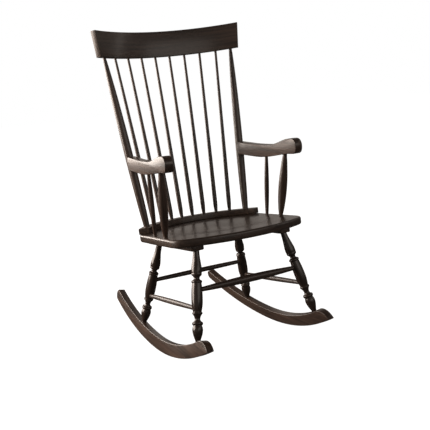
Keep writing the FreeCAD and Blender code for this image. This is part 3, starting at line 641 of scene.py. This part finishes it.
def make_riser():
    outer, inner = ARC + RISER_WIDE / 2, ARC - RISER_WIDE / 2
    sweep = math.radians(RISER_SWEEP)

    def on_arc(bend, angle):
        return (bend * math.sin(angle), ARC_CENTRE + bend * math.cos(angle))

    steps = 56
    points = [on_arc(outer, sweep - 2 * sweep * s / steps) for s in range(steps + 1)]
    points += [on_arc(inner, -sweep + 2 * sweep * s / steps) for s in range(steps + 1)]
    piece = sawn_board("spindle_riser", points, RISER_TALL, RISER_EDGE, 4)
    # the under side is glued down, so its edges are eased less than the upper ones
    for vertex in piece.data.vertices:
        if vertex.co.z < 0:
            vertex.co.z = max(vertex.co.z - RISER_SETTLE, -RISER_TALL / 2)
    remember_grain(piece, "X")
    place(piece, seat_matrix(RISER_TALL / 2))
    finish_piece(piece, WOOD, "seat_riser", smooth=34)


def make_cleats():
    half = CLEAT_WIDE / 2
    inner = half - CLEAT_CORNER
    front, rear = -CLEAT_FRONT, CLEAT_REAR
    corners = [(-inner, front), (inner, front), (half, front + CLEAT_CORNER), (half, rear - CLEAT_CORNER),
               (inner, rear), (-inner, rear), (-half, rear - CLEAT_CORNER), (-half, front + CLEAT_CORNER)]
    for word, side in SIDES:
        piece = sawn_board(f"{word}_leg_cleat", corners, CLEAT_TALL, CLEAT_EDGE)
        remember_grain(piece, "Y")
        shift = Matrix.Translation((side * CLEAT_OFFSET, 0.0, 0.0))
        place(piece, seat_matrix(-SEAT_THICK - CLEAT_TALL / 2) @ shift)
        finish_piece(piece, WOOD, f"{word}_cleat", smooth=34)


def make_crest():
    """A strip swept round its bend, sawn off at both leaning ends, its edges eased."""
    start_alone()
    lie = math.asin(CREST_HALF_FOOT / (CREST_BEND - CREST_THICK / 2))
    first = lie + math.radians(CREST_SPARE)
    bpy.ops.mesh.primitive_plane_add(
        size=1.0,
        location=(CREST_BEND * math.sin(first), CREST_BEND * math.cos(first), CREST_TALL / 2),
        rotation=(math.pi / 2, 0.0, math.pi / 2 - first),
    )
    piece = bpy.context.object
    piece.name = "crest_board"
    piece.scale = (CREST_THICK, CREST_TALL, 1.0)
    bpy.ops.object.transform_apply(location=True, rotation=True, scale=True)
    bpy.ops.object.mode_set(mode="EDIT")
    bpy.ops.mesh.select_all(action="SELECT")
    bpy.ops.mesh.spin(steps=72, angle=-2 * first, center=(0, 0, 0), axis=(0, 0, 1), dupli=False)
    slant = math.radians(CREST_END_SLANT)
    for side in (-1, 1):
        bpy.ops.mesh.select_all(action="SELECT")
        outward = Vector((side * math.cos(lie), -math.sin(lie), 0.0)) * math.cos(slant)
        outward.z = -math.sin(slant)
        corner = Vector((side * CREST_BEND * math.sin(lie), CREST_BEND * math.cos(lie), 0.0))
        bpy.ops.mesh.bisect(plane_co=corner, plane_no=outward, use_fill=True, clear_outer=True)
    bpy.ops.mesh.select_all(action="SELECT")
    bpy.ops.mesh.remove_doubles(threshold=0.00001)
    bpy.ops.mesh.normals_make_consistent(inside=False)
    bpy.ops.object.mode_set(mode="OBJECT")
    easing = piece.modifiers.new("eased_edges", "BEVEL")
    easing.width = CREST_EDGE
    easing.segments = 3
    easing.limit_method = "ANGLE"
    easing.angle_limit = math.radians(40)
    apply_all(piece)
    # the grain follows the bend
    layer = piece.data.attributes.new("grain", "FLOAT_VECTOR", "POINT")
    for vertex, slot in zip(piece.data.vertices, layer.data):
        x, y, z = vertex.co
        slot.vector = (math.hypot(x, y), z, math.atan2(x, y) * CREST_BEND)
    place(piece, Matrix.Translation(CREST_FOOT) @ Matrix.Rotation(math.radians(-CREST_LEAN), 4, "X")
          @ Matrix.Translation((0.0, -CREST_BEND, 0.0)))
    finish_piece(piece, WOOD, "crest_rail", smooth=30)


# (part of the way from the arm's back to its crown, height)
ARM_TOP = ((0.0, 0.688), (0.20, 0.6888), (0.36, 0.690), (0.60, 0.6955), (0.70, 0.7025), (0.78, 0.711),
           (0.90, 0.7245), (1.0, 0.7295))
ARM_NOSE = ((1.0, 0.7295), (1.034, 0.7282), (1.062, 0.7225), (1.081, 0.7125), (1.086, 0.7005),
            (1.080, 0.6885), (1.064, 0.6795), (1.035, 0.675))
ARM_UNDER = ((1.035, 0.675), (0.96, 0.6725), (0.90, 0.670), (0.78, 0.663), (0.62, 0.652),
             (0.50, 0.6465), (0.40, 0.643), (0.20, 0.6415), (0.0, 0.641))


def make_arms():
    run = (ARM_CROWN - ARM_BACK).length
    points = []
    for stretch in (ARM_TOP, ARM_NOSE, ARM_UNDER):
        points += smoothed([(-f * run, z) for f, z in stretch], 4)[:-1]
    points.append((ARM_BACK_SPARE, ARM_UNDER[-1][1]))
    points.append((ARM_BACK_SPARE, ARM_TOP[0][1]))
    for word, side in SIDES:
        piece = sawn_board(f"{word}_scrolled_arm", points, ARM_THICK, ARM_EDGE)
        remember_grain(piece, "X")
        back = Vector((side * ARM_BACK.x, ARM_BACK.y, 0.0))
        crown = Vector((side * ARM_CROWN.x, ARM_CROWN.y, 0.0))
        splay = math.atan2(crown.x - back.x, back.y - crown.y)
        place(piece, Matrix.Translation(back) @ Matrix.Rotation(splay, 4, "Z") @ STAND_ON_EDGE)
        finish_piece(piece, WOOD, f"{word}_arm", smooth=34)


def sagged(bend, reach):
    """How far a circle has risen from its lowest point, this far along."""
    return bend - math.sqrt(bend ** 2 - reach ** 2)


def rocker_sole(reach):
    return sagged(ROCKER_FRONT_BEND if reach < 0 else ROCKER_REAR_BEND, reach)


def rocker_top(reach):
    return ROCKER_DEEP + sagged(ROCKER_CROWN_BEND if reach < 0 else ROCKER_TAIL_BEND, reach)


def rocker_outline():
    """Sole, rounded tail, top and bulged nose, with X running back and Y up."""
    front, back = -ROCKER_FRONT_REACH, ROCKER_REAR_REACH
    steps = 52

    def bulged(start, end, height):
        chord = Vector((end[0] - start[0], end[1] - start[1]))
        out = Vector((chord.y, -chord.x)).normalized() * height
        return ((start[0] + end[0]) / 2 + out.x, (start[1] + end[1]) / 2 + out.y)

    crown_reach = front + ROCKER_NOSE_LENGTH
    tail_low, tail_high = back + ROCKER_TAIL_LOW, back + ROCKER_TAIL_HIGH
    tip = (front, rocker_sole(front))
    crown = (crown_reach, rocker_top(crown_reach))
    low = (tail_low, rocker_sole(tail_low))
    high = (tail_high, rocker_top(tail_high))
    sole_line = [front + (tail_low - front) * step / steps for step in range(steps)]
    top_line = [tail_high + (crown_reach - tail_high) * step / steps for step in range(steps)]
    points = [(y, rocker_sole(y)) for y in sole_line]
    points += arc_through(low, bulged(low, high, ROCKER_TAIL_BULGE * math.dist(low, high)), high, 10)
    points += [(y, rocker_top(y)) for y in top_line]
    points += arc_through(crown, bulged(crown, tip, ROCKER_NOSE_BULGE), tip, 16)
    return points


def make_rockers():
    """Boards that stand in line with the legs: they lean in toward the top, over a level sole."""
    cant = math.radians(ROCKER_CANT)
    lean = math.tan(cant)
    for word, side in SIDES:
        piece = sawn_board(f"{word}_curved_rocker", rocker_outline(), ROCKER_THICK, ROCKER_EDGE)
        remember_grain(piece, "X")
        piece.data.transform(STAND_ON_EDGE)
        for vertex in piece.data.vertices:
            x, y, z = vertex.co
            sole, top = rocker_sole(y), rocker_top(y)
            part = min(1.0, max(0.0, (z - sole) / (top - sole)))
            outward = side * x
            vertex.co.z = z + part * outward * lean
            vertex.co.x = x / math.cos(cant) - side * lean * (z - ROCKER_DEEP / 2)
        place(piece, Matrix.Translation((side * ROCKER_HALF_GAP, ROCKER_CONTACT, 0.0))
              @ Matrix.Rotation(math.radians(side * ROCKER_TOE), 4, "Z"))
        finish_piece(piece, WOOD, f"{word}_rocker", smooth=34)


# ---------------------------------------------------------------- the chair

make_seat()
make_riser()
make_cleats()
make_crest()
make_arms()
make_rockers()
make_legs()
make_stretchers()
make_back_posts()
make_back_spindles()
make_arm_supports()

for node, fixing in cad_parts.items():
    if node.endswith(("screws", "plugs")):
        fixing.data.materials.clear()
        fixing.data.materials.append(ZINC if node.endswith("screws") else PLUG)


# ---------------------------------------------------------------- studio

def plain_floor():
    """A floor that is bright to look at, but throws no light back up at the dark wood."""
    start_alone()
    bpy.ops.mesh.primitive_plane_add(size=14.0, location=(0, 1.0, 0))
    floor = bpy.context.object
    floor.name = "pale_floor"
    material, _, surface = shader_nodes("pale_floor")
    surface.inputs["Base Color"].default_value = (0.3, 0.3, 0.3, 1.0)
    surface.inputs["Roughness"].default_value = 0.9
    surface.inputs["Specular IOR Level"].default_value = 0.1
    surface.inputs["Emission Color"].default_value = (1.0, 1.0, 1.0, 1.0)
    surface.inputs["Emission Strength"].default_value = 0.985
    floor.data.materials.append(material)
    floor.visible_diffuse = False
    floor.visible_glossy = False


def softbox(name, place_at, aim_at, wide, tall, power, tint):
    """A lit sheet, which the camera doesn't see."""
    lamp = bpy.data.lights.new(name, "AREA")
    lamp.shape = "RECTANGLE"
    lamp.size = wide
    lamp.size_y = tall
    lamp.energy = power
    lamp.color = tint
    box = bpy.data.objects.new(name, lamp)
    bpy.context.scene.collection.objects.link(box)
    box.location = place_at
    box.visible_camera = False
    box.rotation_euler = (Vector(aim_at) - Vector(place_at)).to_track_quat("-Z", "Y").to_euler()


def studio_world():
    """White to look at; a dim warm room for the wood to reflect, lightest just above the horizon."""
    world = bpy.data.worlds.new("studio")
    world.use_nodes = True
    tree = world.node_tree
    sky = tree.nodes["Background"]
    rays = tree.nodes.new("ShaderNodeLightPath")
    way = tree.nodes.new("ShaderNodeTexCoord")
    parts = tree.nodes.new("ShaderNodeSeparateXYZ")
    link = tree.links.new
    link(way.outputs["Generated"], parts.inputs["Vector"])
    room = ramp(tree, parts.outputs["Z"], (0.0, (0.05, 0.044, 0.04)), (0.12, (0.22, 0.20, 0.18)),
                (0.45, (0.20, 0.18, 0.165)), (0.8, (0.06, 0.054, 0.05)))
    seen = add(tree, "ShaderNodeMix", data_type="RGBA")
    seen.inputs["B"].default_value = (1.0, 1.0, 1.0, 1.0)
    link(room, seen.inputs["A"])
    link(rays.outputs["Is Camera Ray"], seen.inputs["Factor"])
    link(seen.outputs["Result"], sky.inputs["Color"])
    bpy.context.scene.world = world


plain_floor()
WARM = (1.0, 0.90, 0.82)
KEY_WARM = (1.0, 0.87, 0.77)
softbox("key_left", (-2.9, 1.5, 1.35), (0.0, 0.0, 0.6), 2.6, 2.1, 160, KEY_WARM)
softbox("back_left_sheet", (-1.35, 3.3, 0.75), (-0.2, 0.0, 0.6), 1.6, 1.05, 38, WARM)
softbox("back_right_sheet", (1.9, 3.3, 0.95), (0.0, 0.0, 0.45), 2.4, 1.2, 2.5, WARM)
softbox("back_edge_sheet", (-0.1, 3.4, 1.0), (0.0, 0.0, 0.7), 1.0, 1.6, 6.5, WARM)
softbox("front_sheet", (0.9, -3.3, 1.8), (0.0, 0.1, 0.9), 3.6, 1.6, 15, WARM)
softbox("right_strip", (2.6, -0.85, 1.95), (-0.2, 0.3, 1.08), 0.22, 1.6, 2.0, WARM)
studio_world()

bpy.context.scene.view_settings.view_transform = "Standard"
bpy.context.scene.view_settings.look = "None"

CAMERA_AT = Vector((-1.37405, -2.59494, 1.13178))
CAMERA_YAW = 29.496
CAMERA_PITCH = -12.614
CAMERA_ROLL = -3.272
CAMERA_LENS = 68.337
CAMERA_SHIFT = (-0.0353, -0.0154)


def front_left_camera():
    """Stands in front of the chair, on its left (-X) side, about as high as the crest."""
    yaw = math.radians(CAMERA_YAW)
    pitch = math.radians(CAMERA_PITCH)
    roll = math.radians(CAMERA_ROLL)
    forward = Vector((math.sin(yaw) * math.cos(pitch), math.cos(yaw) * math.cos(pitch), math.sin(pitch)))
    level = Vector((math.cos(yaw), -math.sin(yaw), 0.0))
    upright = level.cross(forward)
    right = math.cos(roll) * level + math.sin(roll) * upright
    up = -math.sin(roll) * level + math.cos(roll) * upright
    lens = bpy.data.cameras.new("view")
    lens.sensor_width = 36.0
    lens.lens = CAMERA_LENS
    lens.shift_x, lens.shift_y = CAMERA_SHIFT
    camera = bpy.data.objects.new("view", lens)
    bpy.context.scene.collection.objects.link(camera)
    turn = Matrix((right, up, -forward)).transposed().to_4x4()
    camera.matrix_world = Matrix.Translation(CAMERA_AT) @ turn
    bpy.context.scene.camera = camera


front_left_camera()
